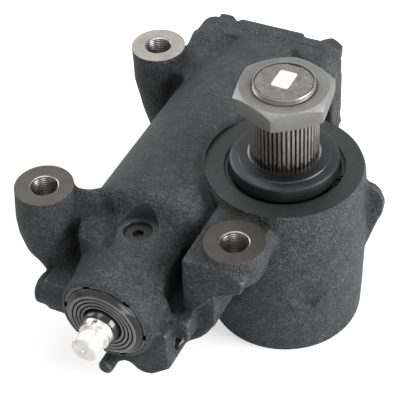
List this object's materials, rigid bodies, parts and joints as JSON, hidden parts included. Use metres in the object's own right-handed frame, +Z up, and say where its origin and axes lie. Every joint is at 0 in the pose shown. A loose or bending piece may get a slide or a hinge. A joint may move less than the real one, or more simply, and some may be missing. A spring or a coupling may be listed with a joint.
{
  "type": "steering gear",
  "caption": "Power steering gear with a cast housing, an upright serrated output shaft with its nut, a level input shaft in a ribbed boot and three mounting bosses.",
  "frame": {"origin": "the output shaft's axis, in the plane of the machined mounting faces", "axes": "+Z up along the output shaft towards its nut, +Y along the cylinder towards its rear end cover (the input shaft points to -Y), +X away from the cylinder"},
  "size_m": [0.2568, 0.3499, 0.2153],
  "materials": {
    "cast_iron_dark": "dark satin paint over fine cast grain",
    "forged_steel": "machined, dull",
    "phosphated_steel": "matte phosphate",
    "dark_steel": "satin dark",
    "shield_steel": "satin dark",
    "bright_steel": "bright machined",
    "hardened_steel": "ground",
    "bearing_steel": "polished",
    "valve_steel": "ground",
    "seal_rubber": "matte",
    "seal_plastic": "bronze-filled, matte",
    "boot_rubber": "glossy moulded rubber"
  },
  "bodies": {
    "housing": {"gear_housing": "cast_iron_dark", "rear_end_cover": "cast_iron_dark", "end_cover_bolts": "dark_steel", "end_cover_seal": "seal_rubber", "output_shaft_seal": "seal_rubber", "output_snap_ring": "dark_steel", "upper_bearing_race": "hardened_steel", "upper_bearing_rollers": "bearing_steel", "lower_bearing_race": "hardened_steel", "lower_bearing_rollers": "bearing_steel", "side_cover": "cast_iron_dark", "side_cover_seal": "seal_rubber", "side_cover_ring": "dark_steel", "adjusting_screw": "phosphated_steel", "adjusting_lock_nut": "phosphated_steel", "worm_thrust_bearing_inner": "hardened_steel", "worm_thrust_bearing_outer": "hardened_steel", "valve_adjusting_ring": "hardened_steel", "input_bearing": "hardened_steel", "input_shaft_seal": "seal_rubber", "port_plug": "dark_steel"},
    "piston": {"rack_piston": "hardened_steel", "piston_seal_ring": "seal_plastic", "piston_end_plug": "hardened_steel", "recirculating_balls": "bearing_steel", "ball_return_tube": "valve_steel", "ball_tube_clamp": "valve_steel", "clamp_screws": "valve_steel"},
    "worm": {"worm_shaft": "hardened_steel", "torsion_bar": "bearing_steel", "worm_drive_pin": "bearing_steel", "valve_sleeve": "valve_steel", "valve_sleeve_rings": "seal_plastic"},
    "input": {"input_shaft": "bright_steel", "input_shaft_pin": "bright_steel", "input_dust_boot": "boot_rubber"},
    "sector": {"sector_shaft": "forged_steel", "pitman_nut": "phosphated_steel", "dust_shield": "shield_steel", "adjusting_screw_retainer": "hardened_steel"}
  },
  "joints": [
    {"name": "worm_turn", "type": "hinge", "parent": "housing", "child": "worm", "pos_m": [-0.077, -0.09, -0.056], "axis": [0, 1, 0], "range_deg": [-800, 800]},
    {"name": "output_turn", "type": "hinge", "parent": "housing", "child": "sector", "pos_m": [0, 0, 0], "axis": [0, 0, 1], "range_deg": [-40, 40]},
    {"name": "piston_slide", "type": "slide", "parent": "housing", "child": "piston", "axis": [0, 1, 0], "range_m": [-0.03142, 0.03142]},
    {"name": "input_turn", "type": "hinge", "parent": "worm", "child": "input", "pos_m": [-0.077, -0.15, -0.056], "axis": [0, 1, 0], "range_deg": [-4, 4], "stiffness_Nm_per_rad": 90}
  ],
  "couplings": [
    {"joint": "output_turn", "follows": "worm_turn", "ratio": 0.05},
    {"joint": "piston_slide", "follows": "worm_turn", "m_per_rad": -0.00225}
  ]
}
